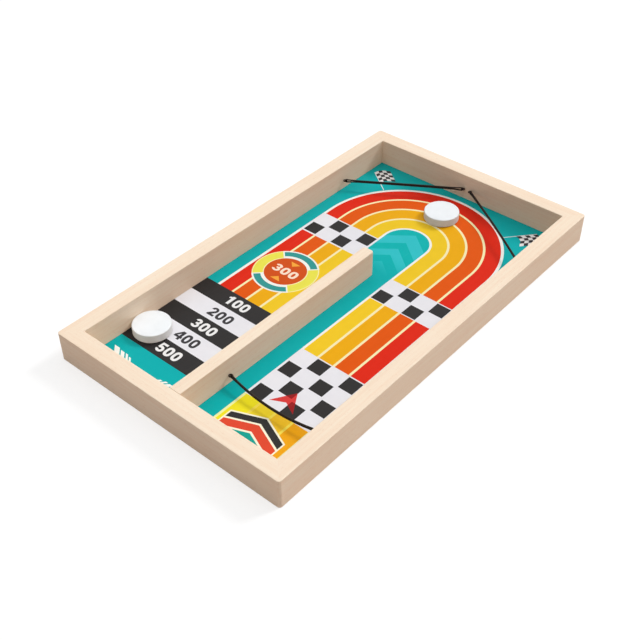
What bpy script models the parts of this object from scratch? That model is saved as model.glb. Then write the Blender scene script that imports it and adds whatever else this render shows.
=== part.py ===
"""Catapult board game: a shallow wooden tray with a lane divider, elastic catapults and two pucks.

The tray lies on its base with +Z up. The player sits at -Y, beside the launch lane at +X and the
scoring lane at -X. The origin is the middle of the underside. Lengths are in metres.
"""

import math

import bmesh
import bpy
from mathutils import Matrix, Vector

# Driving dimensions of the tray
TRAY_WIDTH = 0.300
TRAY_LENGTH = 0.525
TRAY_HEIGHT = 0.035
RAIL_THICKNESS = 0.0195
OUTER_CORNER_RADIUS = 0.0035
EDGE_ROUNDING = 0.0008
CORNER_STEPS = 5
EDGE_STEPS = 3
GAP = 0.0003

# Mesh tolerances
SAME_PLACE = 0.00005
WELD_DISTANCE = 0.00001
SHARP_ANGLE = math.radians(40)

# Base board, let into a rebate under the rails, and the printed sheet glued on it
BOARD_THICKNESS = 0.0024
REBATE_WIDTH = 0.008
SHEET_THICKNESS = 0.0003

# Lane divider
DIVIDER_THICKNESS = 0.014
DIVIDER_CENTRE_X = 0.0006
DIVIDER_FAR_END_Y = 0.0495
DIVIDER_END_RADIUS = 0.0035

# Dowels that hold the mitred corners and the divider
DOWEL_RADIUS = 0.003
CORNER_DOWEL_LENGTH = 0.016
DIVIDER_DOWEL_LENGTH = 0.024
DOWEL_HEIGHTS = {"low": 0.012, "high": 0.025}
DOWEL_SIDES = 16

# A screw or eye hole's mouth stands this many gaps in front of the surface that it is cut into
HOLE_OVERRUN = 4

# Countersunk wood screws driven up through the board
SCREW_HEAD_RADIUS = 0.0028
SCREW_HEAD_HEIGHT = 0.0015
SCREW_SHANK_RADIUS = 0.0014
SCREW_LENGTH = 0.014
SCREW_POINT_LENGTH = 0.0025
SCREW_SUNK_DEPTH = 0.0002
SCREW_INSET = 0.004
SCREW_SIDES = 12
CROSS_RECESS_DEPTH = 0.0009
CROSS_ARM_LENGTH = 0.0031
CROSS_ARM_WIDTH = 0.0007
SIDE_SCREW_Y = (-0.200, -0.067, 0.067, 0.200)
END_SCREW_X = (-0.080, 0.080)
DIVIDER_SCREW_Y = (-0.200, -0.090, 0.020)

# Screw eyes that hold the elastics
EYE_HEIGHT = 0.014
BACK_EYE_HEIGHT = 0.0165
EYE_WIRE_RADIUS = 0.0005
EYE_RING_RADIUS = 0.0019
EYE_RING_STANDOFF = 0.0024
EYE_NECK_DEPTH = 0.0004
EYE_SHOULDER_DEPTH = 0.0008
EYE_THREAD_RADIUS = 0.00085
EYE_POINT_LENGTH = 0.002
EYE_DEPTH = 0.008
EYE_SIDES = 10
EYE_RING_STEPS = 18
EYE_WIRE_SIDES = 8
CATAPULT_Y = -0.1795
LEFT_CORNER_SIDE_Y = 0.165
LEFT_CORNER_BACK_X = -0.0034
RIGHT_CORNER_SIDE_Y = 0.158
RIGHT_CORNER_BACK_X = 0.007

# Elastics: one closed loop of round cord each, threaded through two screw eyes
CORD_RADIUS = 0.0009
CORD_HALF_GAP_MID = 0.0011
CATAPULT_BOW = 0.0044
CATAPULT_DROOP = 0.004
CORNER_BOWS = {"left": 0.0005, "right": 0.0015}
STRAND_STEPS = 22
TURN_STEPS = 6
CORD_BEVEL_STEPS = 2

# Pucks
PUCK_RADIUS = 0.021
PUCK_HEIGHT = 0.010
PUCK_EDGE_RADIUS = 0.001
PUCK_EDGE_STEPS = 3
PUCK_SIDES = 56
CURVE_CENTRE_Y = 0.1194
CURVE_PUCK_RADIUS = 0.0703
CURVE_PUCK_ANGLE = math.radians(-0.9)
SCORE_PUCK_Y = -0.1756

# Sizes that follow from the driving dimensions
INNER_X = TRAY_WIDTH / 2 - RAIL_THICKNESS
INNER_Y = TRAY_LENGTH / 2 - RAIL_THICKNESS
RAIL_MIDDLE_X = (TRAY_WIDTH - RAIL_THICKNESS) / 2
RAIL_MIDDLE_Y = (TRAY_LENGTH - RAIL_THICKNESS) / 2
SHEET_BOTTOM = BOARD_THICKNESS + GAP
PLAY_SURFACE = SHEET_BOTTOM + SHEET_THICKNESS
DIVIDER_RIGHT_X = DIVIDER_CENTRE_X + DIVIDER_THICKNESS / 2
SCORE_PUCK_X = -INNER_X + PUCK_RADIUS + GAP


def clear_scene():
    for old in list(bpy.data.objects):
        bpy.data.objects.remove(old, do_unlink=True)


def new_collection(name):
    collection = bpy.data.collections.new(name)
    bpy.context.scene.collection.children.link(collection)
    return collection


def material(name, colour, roughness, metallic=0.0):
    made = bpy.data.materials.new(name)
    made.use_nodes = True
    shader = made.node_tree.nodes["Principled BSDF"]
    shader.inputs["Base Color"].default_value = (*colour, 1.0)
    shader.inputs["Roughness"].default_value = roughness
    shader.inputs["Metallic"].default_value = metallic
    made.diffuse_color = (*colour, 1.0)
    return made


def new_object(name, mesh, collection, surface=None):
    made = bpy.data.objects.new(name, mesh)
    collection.objects.link(made)
    if surface is not None and not mesh.materials:
        mesh.materials.append(surface)
    return made


def mesh_from_bmesh(name, bm):
    bmesh.ops.recalc_face_normals(bm, faces=bm.faces)
    mesh = bpy.data.meshes.new(name)
    bm.to_mesh(mesh)
    bm.free()
    return mesh


def box_bmesh(size, centre=(0.0, 0.0, 0.0)):
    """A box of the given size, as a bmesh that can still be bevelled."""
    bm = bmesh.new()
    place = Matrix.Translation(centre) @ Matrix.Diagonal((*size, 1.0))
    bmesh.ops.create_cube(bm, size=1.0, matrix=place)
    return bm


def round_edges(bm, edges, radius, segments):
    bmesh.ops.bevel(
        bm,
        geom=edges,
        offset=radius,
        segments=segments,
        profile=0.5,
        affect="EDGES",
    )


def upright_edges(bm):
    """The vertical edges of a plain box whose outer or far side is at +Y."""
    return [
        e
        for e in bm.edges
        if all(v.co.y > 0 for v in e.verts) and abs(e.verts[0].co.x - e.verts[1].co.x) < SAME_PLACE
    ]


def edges_at_height(bm, height):
    return [e for e in bm.edges if all(abs(v.co.z - height) < SAME_PLACE for v in e.verts)]


def turned_mesh(name, profile, steps):
    """A solid turned about Z from a profile of (radius, height) points, by a Screw modifier."""
    outline = bpy.data.meshes.new(name + "_outline")
    points = [(radius, 0.0, height) for radius, height in profile]
    outline.from_pydata(points, [(i, i + 1) for i in range(len(points) - 1)], [])
    holder = bpy.data.objects.new(name + "_outline", outline)
    bpy.context.scene.collection.objects.link(holder)
    turn = holder.modifiers.new("turn", "SCREW")
    turn.steps = steps
    turn.render_steps = steps
    turn.use_merge_vertices = True
    turn.merge_threshold = WELD_DISTANCE
    turn.use_smooth_shade = True
    mesh = evaluated_mesh(name, holder)
    bpy.data.objects.remove(holder)
    return mesh


def evaluated_mesh(name, source):
    """The mesh of an object with its modifiers applied, with its loose caps welded."""
    bpy.context.view_layer.update()
    graph = bpy.context.evaluated_depsgraph_get()
    mesh = bpy.data.meshes.new_from_object(source.evaluated_get(graph))
    mesh.name = name
    bm = bmesh.new()
    bm.from_mesh(mesh)
    bmesh.ops.remove_doubles(bm, verts=bm.verts, dist=WELD_DISTANCE)
    bmesh.ops.recalc_face_normals(bm, faces=bm.faces)
    bm.to_mesh(mesh)
    bm.free()
    mesh.set_sharp_from_angle(angle=SHARP_ANGLE)
    return mesh


def boolean(target, cutter, operation):
    step = target.modifiers.new(operation.lower(), "BOOLEAN")
    step.operation = operation
    step.solver = "EXACT"
    if isinstance(cutter, bpy.types.Collection):
        step.operand_type = "COLLECTION"
        step.collection = cutter
    else:
        step.object = cutter


def hide_cutter(cutter):
    cutter.hide_render = True
    cutter.display_type = "WIRE"


# Fixings and the holes they sit in: each hole is larger than its piece by the gap


def cylinder_mesh(name, radius, length):
    """A cylinder along Z, centred on its origin."""
    bm = bmesh.new()
    bmesh.ops.create_cone(
        bm,
        cap_ends=True,
        segments=DOWEL_SIDES,
        radius1=radius,
        radius2=radius,
        depth=length,
    )
    mesh = mesh_from_bmesh(name, bm)
    mesh.shade_smooth()
    mesh.set_sharp_from_angle(angle=SHARP_ANGLE)
    return mesh


def screw_profile(grow):
    """Half outline of a countersunk screw, head down, from its point to the middle of its head.

    A hole's outline is grown by the gap, and starts below the underside so that it cuts right through.
    """
    tip = SCREW_SUNK_DEPTH + SCREW_LENGTH + grow
    head_bottom = SCREW_SUNK_DEPTH - HOLE_OVERRUN * grow
    return [
        (0.0, tip),
        (SCREW_SHANK_RADIUS + grow, tip - SCREW_POINT_LENGTH),
        (SCREW_SHANK_RADIUS + grow, SCREW_SUNK_DEPTH + SCREW_HEAD_HEIGHT + grow),
        (SCREW_HEAD_RADIUS + grow, SCREW_SUNK_DEPTH + grow),
        (SCREW_HEAD_RADIUS + grow, head_bottom),
        (0.0, head_bottom),
    ]


def eye_shank_profile(grow):
    """Half outline of a screw eye's shank, from the ring end down to its buried point.

    A hole's outline is grown by the gap, and starts in front of the wall so that it cuts right through.
    """
    neck_top = EYE_RING_STANDOFF - EYE_RING_RADIUS + HOLE_OVERRUN * grow
    neck_radius = EYE_WIRE_RADIUS + grow
    thread_radius = EYE_THREAD_RADIUS + grow
    tip = -EYE_DEPTH - grow
    return [
        (0.0, neck_top),
        (neck_radius, neck_top),
        (neck_radius, grow - EYE_NECK_DEPTH),
        (thread_radius, grow - EYE_SHOULDER_DEPTH),
        (thread_radius, tip + EYE_POINT_LENGTH),
        (0.0, tip),
    ]


def corner_dowel_places():
    """Centre, outward heading and name of each dowel across a mitre."""
    places = []
    for end, sign_y in (("front", -1), ("back", 1)):
        for side, sign_x in (("left", -1), ("right", 1)):
            for level, height in DOWEL_HEIGHTS.items():
                centre = Vector((sign_x * RAIL_MIDDLE_X, sign_y * RAIL_MIDDLE_Y, height))
                heading = Vector((sign_x, -sign_y, 0.0)).normalized()
                places.append((f"corner_dowel_{end}_{side}_{level}", centre, heading))
    return places


def divider_dowel_places():
    """Centre, heading and name of each dowel between the divider and the front rail."""
    return [
        (f"divider_dowel_{level}", Vector((DIVIDER_CENTRE_X, -INNER_Y, height)), Vector((0, 1, 0)))
        for level, height in DOWEL_HEIGHTS.items()
    ]


def screw_places():
    """Name and plan position of every screw in the underside."""
    side_x = INNER_X + SCREW_INSET
    end_y = INNER_Y + SCREW_INSET
    rail_screws = [(sign * side_x, y) for sign in (-1, 1) for y in SIDE_SCREW_Y]
    rail_screws += [(x, sign * end_y) for sign in (-1, 1) for x in END_SCREW_X]
    places = [(f"board_screw_{n:02d}", x, y) for n, (x, y) in enumerate(rail_screws, start=1)]
    for n, y in enumerate(DIVIDER_SCREW_Y, start=1):
        places.append((f"divider_screw_{n}", DIVIDER_CENTRE_X, y))
    return places


def eye_places():
    """Foot on the wall and outward heading of each screw eye, by name."""
    right = Vector((1, 0, 0))
    left = Vector((-1, 0, 0))
    front = Vector((0, -1, 0))
    z = EYE_HEIGHT
    back_z = BACK_EYE_HEIGHT
    return {
        "catapult_eye_left": (Vector((DIVIDER_RIGHT_X, CATAPULT_Y, z)), right),
        "catapult_eye_right": (Vector((INNER_X, CATAPULT_Y, z)), left),
        "left_corner_eye_side": (Vector((-INNER_X, LEFT_CORNER_SIDE_Y, z)), right),
        "left_corner_eye_back": (Vector((LEFT_CORNER_BACK_X, INNER_Y, back_z)), front),
        "right_corner_eye_side": (Vector((INNER_X, RIGHT_CORNER_SIDE_Y, z)), left),
        "right_corner_eye_back": (Vector((RIGHT_CORNER_BACK_X, INNER_Y, back_z)), front),
    }


def stand_along(made, centre, heading):
    """Turn an object so that its own Z points along the heading, with its origin at the centre."""
    made.location = centre
    made.rotation_euler = Vector(heading).to_track_quat("Z", "Y").to_euler()


def add_cutters(cutters):
    dowel_holes = {
        CORNER_DOWEL_LENGTH: corner_dowel_places(),
        DIVIDER_DOWEL_LENGTH: divider_dowel_places(),
    }
    for length, places in dowel_holes.items():
        mesh = cylinder_mesh("dowel_hole", DOWEL_RADIUS + GAP, length + 2 * GAP)
        for name, centre, heading in places:
            hole = new_object("hole_for_" + name, mesh, cutters)
            stand_along(hole, centre, heading)
            hide_cutter(hole)
    screw_hole = turned_mesh("screw_hole", screw_profile(GAP), SCREW_SIDES)
    for name, x, y in screw_places():
        hole = new_object("hole_for_" + name, screw_hole, cutters)
        hole.location = (x, y, 0.0)
        hide_cutter(hole)
    eye_hole = turned_mesh("eye_hole", eye_shank_profile(GAP), EYE_SIDES)
    for name, (foot, heading) in eye_places().items():
        hole = new_object("hole_for_" + name, eye_hole, cutters)
        stand_along(hole, foot, heading)
        hide_cutter(hole)


def add_rebate_cutter(cutters):
    """The shallow step under the rails that the base board lies in."""
    size = (
        2 * (INNER_X + REBATE_WIDTH),
        2 * (INNER_Y + REBATE_WIDTH),
        2 * SHEET_BOTTOM,
    )
    cutter = new_object("rebate", mesh_from_bmesh("rebate", box_bmesh(size)), cutters)
    hide_cutter(cutter)
    return cutter


# Wooden pieces


def rail_mesh(name, length):
    """A rail along X with its outer face at +Y and its mitred ends, before any hole is cut."""
    half_length = length / 2
    half_thick = RAIL_THICKNESS / 2
    bm = box_bmesh((length, RAIL_THICKNESS, TRAY_HEIGHT))
    round_edges(bm, upright_edges(bm), OUTER_CORNER_RADIUS, CORNER_STEPS)
    round_edges(bm, edges_at_height(bm, TRAY_HEIGHT / 2), EDGE_ROUNDING, EDGE_STEPS)
    round_edges(bm, edges_at_height(bm, -TRAY_HEIGHT / 2), EDGE_ROUNDING / 2, 1)
    for sign in (-1, 1):
        outward = Vector((sign, -1, 0)).normalized()
        outer_corner = Vector((sign * half_length, half_thick, 0)) - outward * GAP / 2
        cut = bmesh.ops.bisect_plane(
            bm,
            geom=bm.verts[:] + bm.edges[:] + bm.faces[:],
            plane_co=outer_corner,
            plane_no=outward,
            clear_outer=True,
        )
        rim = [item for item in cut["geom_cut"] if isinstance(item, bmesh.types.BMEdge)]
        bmesh.ops.contextual_create(bm, geom=rim)
    return mesh_from_bmesh(name, bm)


def add_rails(parts, wood, rebate, holes):
    """The four rails: length, place in plan, and turn in degrees from the back rail's own way round."""
    rails = {
        "back_rail": (TRAY_WIDTH, (0, RAIL_MIDDLE_Y), 0),
        "front_rail": (TRAY_WIDTH, (0, -RAIL_MIDDLE_Y), 180),
        "left_rail": (TRAY_LENGTH, (-RAIL_MIDDLE_X, 0), 90),
        "right_rail": (TRAY_LENGTH, (RAIL_MIDDLE_X, 0), -90),
    }
    for name, (length, (x, y), turn) in rails.items():
        rail = new_object(name, rail_mesh(name, length), parts, wood)
        rail.location = (x, y, TRAY_HEIGHT / 2)
        rail.rotation_euler = (0, 0, math.radians(turn))
        boolean(rail, rebate, "DIFFERENCE")
        boolean(rail, holes, "DIFFERENCE")


def add_divider(parts, wood, holes):
    """The rail between the lanes: its near end butts the front rail, its far end is rounded."""
    near_y = -INNER_Y + GAP
    bottom = PLAY_SURFACE + GAP
    length = DIVIDER_FAR_END_Y - near_y
    height = TRAY_HEIGHT - bottom
    bm = box_bmesh((DIVIDER_THICKNESS, length, height))
    round_edges(bm, upright_edges(bm), DIVIDER_END_RADIUS, CORNER_STEPS)
    free_top = [
        e
        for e in edges_at_height(bm, height / 2)
        if any(v.co.y > SAME_PLACE - length / 2 for v in e.verts)
    ]
    round_edges(bm, free_top, EDGE_ROUNDING, EDGE_STEPS)
    divider = new_object("lane_divider", mesh_from_bmesh("lane_divider", bm), parts, wood)
    divider.location = (DIVIDER_CENTRE_X, near_y + length / 2, bottom + height / 2)
    boolean(divider, holes, "DIFFERENCE")


def add_board(parts, ply, print_film, holes):
    board_size = (
        2 * (INNER_X + REBATE_WIDTH - GAP),
        2 * (INNER_Y + REBATE_WIDTH - GAP),
        BOARD_THICKNESS,
    )
    board = new_object("base_board", mesh_from_bmesh("base_board", box_bmesh(board_size)), parts, ply)
    board.location = (0, 0, BOARD_THICKNESS / 2)
    boolean(board, holes, "DIFFERENCE")
    sheet_size = (2 * (INNER_X - GAP), 2 * (INNER_Y - GAP), SHEET_THICKNESS)
    sheet_mesh = mesh_from_bmesh("playfield_sheet", box_bmesh(sheet_size))
    sheet = new_object("playfield_sheet", sheet_mesh, parts, print_film)
    sheet.location = (0, 0, SHEET_BOTTOM + SHEET_THICKNESS / 2)
    boolean(sheet, holes, "DIFFERENCE")


def add_dowels(parts, beech):
    corner = cylinder_mesh("corner_dowel", DOWEL_RADIUS, CORNER_DOWEL_LENGTH)
    for name, centre, heading in corner_dowel_places():
        stand_along(new_object(name, corner, parts, beech), centre, heading)
    divider = cylinder_mesh("divider_dowel", DOWEL_RADIUS, DIVIDER_DOWEL_LENGTH)
    for name, centre, heading in divider_dowel_places():
        stand_along(new_object(name, divider, parts, beech), centre, heading)


# Metal pieces


def screw_mesh(cutters):
    """A countersunk screw standing on its head, with a cross recess in the head."""
    turned = turned_mesh("screw_blank", screw_profile(0.0), SCREW_SIDES)
    blank = new_object("screw_blank", turned, cutters)
    arms = []
    for across in ((CROSS_ARM_LENGTH, CROSS_ARM_WIDTH), (CROSS_ARM_WIDTH, CROSS_ARM_LENGTH)):
        box = box_bmesh((*across, 2 * CROSS_RECESS_DEPTH), (0, 0, SCREW_SUNK_DEPTH))
        arm = new_object("cross_recess", mesh_from_bmesh("cross_recess", box), cutters)
        hide_cutter(arm)
        boolean(blank, arm, "DIFFERENCE")
        arms.append(arm)
    mesh = evaluated_mesh("screw", blank)
    for used in (blank, *arms):
        bpy.data.objects.remove(used)
    return mesh


def add_screws(parts, cutters, steel):
    mesh = screw_mesh(cutters)
    for name, x, y in screw_places():
        screw = new_object(name, mesh, parts, steel)
        screw.location = (x, y, 0.0)


def eye_mesh(cutters):
    """A screw eye standing along Z with its foot at the origin and its ring lying in XZ."""
    turned = turned_mesh("eye_shank", eye_shank_profile(0.0), EYE_SIDES)
    shank = new_object("eye_shank", turned, cutters)
    bpy.ops.mesh.primitive_torus_add(
        major_segments=EYE_RING_STEPS,
        minor_segments=EYE_WIRE_SIDES,
        major_radius=EYE_RING_RADIUS,
        minor_radius=EYE_WIRE_RADIUS,
        location=(0, 0, EYE_RING_STANDOFF),
        rotation=(math.pi / 2, 0, 0),
    )
    ring = bpy.context.object
    boolean(shank, ring, "UNION")
    mesh = evaluated_mesh("screw_eye", shank)
    bpy.data.objects.remove(ring)
    bpy.data.objects.remove(shank)
    return mesh


def add_eyes(parts, cutters, bronze):
    mesh = eye_mesh(cutters)
    for name, (foot, heading) in eye_places().items():
        eye = new_object(name, mesh, parts, bronze)
        eye.location = foot
        across = heading.cross(Vector((0, 0, 1)))
        eye.rotation_euler = Matrix((across, (0, 0, -1), heading)).transposed().to_euler()


# Elastics


def elastic_route(start_eye, end_eye, bow, droop):
    """Points of one closed cord loop, threaded through both rings and slack between them.

    bow is a sideways offset of the middle as a plan vector, and droop is how far it hangs.
    """
    up = Vector((0, 0, 1))
    rings = [foot + heading * EYE_RING_STANDOFF for foot, heading in (start_eye, end_eye)]
    chord = rings[1] - rings[0]
    sag = Vector(bow) - up * droop
    leave = (chord + sag * 4).normalized()
    arrive = (chord - sag * 4).normalized()
    hooks = []
    for ring, along in ((rings[0], leave), (rings[1], -arrive)):
        level = Vector((along.x, along.y, 0)).normalized()
        hooks.append(ring + level * EYE_RING_RADIUS)
    turn_radius = EYE_WIRE_RADIUS + CORD_RADIUS + GAP
    span = hooks[1] - hooks[0]

    def along_strand(fraction, side):
        swell = 4 * fraction * (1 - fraction)
        middle = hooks[0] + span * fraction + sag * swell
        heading = (span + sag * 4 * (1 - 2 * fraction)).normalized()
        level = heading.cross(up).normalized()
        half_gap = turn_radius + (CORD_HALF_GAP_MID - turn_radius) * swell
        return middle + level.cross(heading) * half_gap * side

    def round_the_wire(hook, along, first_side):
        level = along.cross(up).normalized()
        lift = level.cross(along) * first_side
        angles = [math.pi * step / TURN_STEPS for step in range(1, TURN_STEPS)]
        return [hook + (lift * math.cos(a) - along * math.sin(a)) * turn_radius for a in angles]

    strand = [step / STRAND_STEPS for step in range(STRAND_STEPS + 1)]
    upper = [along_strand(fraction, 1) for fraction in strand]
    lower = [along_strand(fraction, -1) for fraction in reversed(strand)]
    far_turn = round_the_wire(hooks[1], -arrive, 1)
    near_turn = round_the_wire(hooks[0], leave, -1)
    return upper + far_turn + lower + near_turn


def add_elastic(name, route, parts, rubber):
    """A round cord along the route, with its origin at the middle of the loop."""
    centre = sum(route, Vector()) / len(route)
    curve = bpy.data.curves.new(name, "CURVE")
    curve.dimensions = "3D"
    curve.bevel_depth = CORD_RADIUS
    curve.bevel_resolution = CORD_BEVEL_STEPS
    spline = curve.splines.new("POLY")
    spline.points.add(len(route) - 1)
    spline.use_cyclic_u = True
    for point, place in zip(spline.points, route):
        point.co = (*(place - centre), 1.0)
    curve.materials.append(rubber)
    elastic = bpy.data.objects.new(name, curve)
    elastic.location = centre
    parts.objects.link(elastic)


def add_elastics(parts, rubber):
    eyes = eye_places()
    catapult = elastic_route(
        eyes["catapult_eye_left"],
        eyes["catapult_eye_right"],
        (0, -CATAPULT_BOW, 0),
        CATAPULT_DROOP,
    )
    add_elastic("catapult_elastic", catapult, parts, rubber)
    for side, sign in (("left", -1), ("right", 1)):
        into_corner = Vector((sign, 1, 0)).normalized()
        route = elastic_route(
            eyes[f"{side}_corner_eye_side"],
            eyes[f"{side}_corner_eye_back"],
            into_corner * CORNER_BOWS[side],
            0.0,
        )
        add_elastic(f"{side}_corner_elastic", route, parts, rubber)


# Pucks


def puck_profile():
    """Half outline of a puck that stands on Z = 0, from the middle of its top to that of its base."""
    points = [(0.0, PUCK_HEIGHT)]
    inner = PUCK_RADIUS - PUCK_EDGE_RADIUS
    for centre_height, start in ((PUCK_HEIGHT - PUCK_EDGE_RADIUS, 90), (PUCK_EDGE_RADIUS, 0)):
        for step in range(PUCK_EDGE_STEPS + 1):
            angle = math.radians(start - 90 * step / PUCK_EDGE_STEPS)
            across = inner + PUCK_EDGE_RADIUS * math.cos(angle)
            points.append((across, centre_height + PUCK_EDGE_RADIUS * math.sin(angle)))
    points.append((0.0, 0.0))
    return points


def add_pucks(parts, lacquer):
    mesh = turned_mesh("puck", puck_profile(), PUCK_SIDES)
    bottom = PLAY_SURFACE + GAP
    score_puck = new_object("score_puck", mesh, parts, lacquer)
    score_puck.location = (SCORE_PUCK_X, SCORE_PUCK_Y, bottom)
    pivot = bpy.data.objects.new("curve_centre", None)
    pivot.empty_display_size = CURVE_PUCK_RADIUS
    pivot.location = (0, CURVE_CENTRE_Y, bottom)
    pivot.rotation_euler = (0, 0, CURVE_PUCK_ANGLE)
    parts.objects.link(pivot)
    curve_puck = new_object("curve_puck", mesh, parts, lacquer)
    curve_puck.parent = pivot
    curve_puck.location = (0, CURVE_PUCK_RADIUS, 0)


def build():
    clear_scene()
    parts = new_collection("catapult_board_game")
    cutters = new_collection("cutters")
    holes = bpy.data.collections.new("holes")
    cutters.children.link(holes)

    pale_wood = material("pale_wood", (0.93, 0.74, 0.55), 0.55)
    plywood = material("plywood", (0.78, 0.60, 0.40), 0.7)
    print_film = material("print_film", (0.0, 0.42, 0.40), 0.35)
    beech = material("beech", (0.72, 0.50, 0.32), 0.6)
    steel = material("zinc_steel", (0.62, 0.63, 0.65), 0.35, 1.0)
    bronze = material("dark_bronze", (0.10, 0.06, 0.045), 0.4, 1.0)
    rubber = material("black_elastic", (0.02, 0.02, 0.02), 0.7)
    lacquer = material("white_lacquer", (0.90, 0.90, 0.90), 0.35)

    add_cutters(holes)
    rebate = add_rebate_cutter(cutters)
    add_rails(parts, pale_wood, rebate, holes)
    add_divider(parts, pale_wood, holes)
    add_board(parts, plywood, print_film, holes)
    add_dowels(parts, beech)
    add_screws(parts, cutters, steel)
    add_eyes(parts, cutters, bronze)
    add_elastics(parts, rubber)
    add_pucks(parts, lacquer)


build()
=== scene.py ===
import math

import bmesh
import bpy
from mathutils import Matrix, Vector
from mathutils.geometry import tessellate_polygon


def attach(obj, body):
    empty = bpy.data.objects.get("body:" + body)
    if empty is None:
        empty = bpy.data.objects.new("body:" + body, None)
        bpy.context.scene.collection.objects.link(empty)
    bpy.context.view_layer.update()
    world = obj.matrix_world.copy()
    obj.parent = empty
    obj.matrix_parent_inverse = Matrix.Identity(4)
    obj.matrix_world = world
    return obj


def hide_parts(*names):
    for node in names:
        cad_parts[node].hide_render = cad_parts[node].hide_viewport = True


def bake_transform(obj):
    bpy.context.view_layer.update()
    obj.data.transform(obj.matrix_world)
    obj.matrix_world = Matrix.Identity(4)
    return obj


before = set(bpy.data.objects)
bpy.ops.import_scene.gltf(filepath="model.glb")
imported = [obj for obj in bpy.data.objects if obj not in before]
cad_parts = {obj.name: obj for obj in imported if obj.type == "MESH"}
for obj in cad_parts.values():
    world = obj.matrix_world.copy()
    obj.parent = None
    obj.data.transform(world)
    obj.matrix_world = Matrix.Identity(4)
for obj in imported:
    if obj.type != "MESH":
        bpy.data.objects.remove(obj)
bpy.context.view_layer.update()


# The four rails
# Strips of pale, close-grained wood, planed, rounded along every edge, mitred at the corners and
# glued. Each is a welded copy of its CAD rail, so that its roundings shade smoothly, with its
# mitred ends brought together to a hairline joint.

MM = 0.001
HALF_WIDTH = 150 * MM
HALF_LENGTH = 262.5 * MM
FITTING_GAP = 0.3 * MM
GLUE_LINE = 0.02 * MM
WELD = 0.01 * MM
SHARP_EDGE = math.radians(40)
WORN_EDGE = 0.9 * MM


def screen(red, green, blue):
    """A shader colour from its 0 to 255 values on a screen."""
    levels = [value / 255 for value in (red, green, blue)]
    return (*[v / 12.92 if v <= 0.04045 else ((v + 0.055) / 1.055) ** 2.4 for v in levels], 1.0)


def feed(node, inputs):
    """Links or sets some of a node's inputs."""
    for key, value in inputs.items():
        if isinstance(value, bpy.types.NodeSocket):
            node.id_data.links.new(value, node.inputs[key])
        else:
            node.inputs[key].default_value = value


def add_node(kind, inputs, tree=None, **settings):
    """A node in a given tree, or else in the one that its linked inputs come from."""
    if tree is None:
        tree = next(v for v in inputs.values() if isinstance(v, bpy.types.NodeSocket)).id_data
    made = tree.nodes.new(kind if "Node" in kind else "ShaderNode" + kind)
    for name, value in settings.items():
        setattr(made, name, value)
    feed(made, inputs)
    return made


def work(operation, *values):
    """Arithmetic on numbers that change over the surface."""
    return add_node("Math", dict(enumerate(values)), operation=operation).outputs[0]


def times(product, *others):
    for value in others:
        product = work("MULTIPLY", product, value)
    return product


def scaled(value, slope, base):
    return work("MULTIPLY_ADD", value, slope, base)


def paint(below, amount, above, blend_type="MIX"):
    """The colour above laid over the one below, by an amount from 0 to 1."""
    inputs = {0: amount, 6: below, 7: above}
    return add_node("Mix", inputs, data_type="RGBA", blend_type=blend_type).outputs[2]


def fade(value, low, high):
    """0 below low, 1 above high and smooth between them."""
    inputs = {"Value": value, "From Min": low, "From Max": high}
    return add_node("MapRange", inputs, interpolation_type="SMOOTHSTEP").outputs[0]


def noise(place, waves, detail=3.0, roughness=0.5):
    """Noise from 0 to 1, by its waves to the metre on all three axes or on each."""
    waves = waves if isinstance(waves, tuple) else (waves, waves, waves)
    spaced = add_node("VectorMath", {0: place, 1: waves}, operation="MULTIPLY").outputs[0]
    inputs = {"Vector": spaced, "Scale": 1.0, "Detail": detail, "Roughness": roughness}
    return add_node("TexNoise", inputs).outputs[0]


def node_group(tree_type, name, inputs, outputs):
    """A new group, its given inputs and the node that takes its result."""
    tree = bpy.data.node_groups.new(name, tree_type)
    for in_out, sockets in (("INPUT", inputs), ("OUTPUT", outputs)):
        for label, kind in sockets.items():
            tree.interface.new_socket(label, in_out=in_out, socket_type="NodeSocket" + kind)
    return tree, tree.nodes.new("NodeGroupInput").outputs, tree.nodes.new("NodeGroupOutput")


def start_material(name):
    """A new material, its shader and its Object coordinates."""
    made = bpy.data.materials.new(name)
    made.use_nodes = True
    nodes = made.node_tree.nodes
    return made, nodes["Principled BSDF"], nodes.new("ShaderNodeTexCoord").outputs["Object"]


def finish_surface(shader, colour, roughness, specular, height, depth, strength=0.5):
    """Gives a shader its colour and gloss, and bumps of that depth in metres."""
    bumps = add_node("Bump", {"Height": height, "Distance": depth, "Strength": strength})
    feed(shader, {
        "Base Color": colour,
        "Roughness": roughness,
        "Specular IOR Level": specular,
        "Normal": bumps.outputs[0],
    })


def edge_rub_group():
    """1 along the edges, broken up by noise, and 0 on the flats: where edges wear, and where the
    rails' painted edge highlight goes.
    """
    tree, given, result = node_group(
        "ShaderNodeTree", "edge rub", {"Place": "Vector", "Width": "Float"}, {"Rub": "Float"}
    )
    rounded = add_node("Bevel", {"Radius": given["Width"]}, samples=6).outputs[0]
    facing = tree.nodes.new("ShaderNodeNewGeometry").outputs["Normal"]
    match = add_node("VectorMath", {0: rounded, 1: facing}, operation="DOT_PRODUCT")
    turned = work("SUBTRACT", 1.0, match.outputs["Value"])
    uneven = scaled(noise(given["Place"], 230, 4.0), 1.1, -0.05)
    feed(result, {"Rub": times(fade(turned, 0.01, 0.22), uneven)})
    return tree


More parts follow.
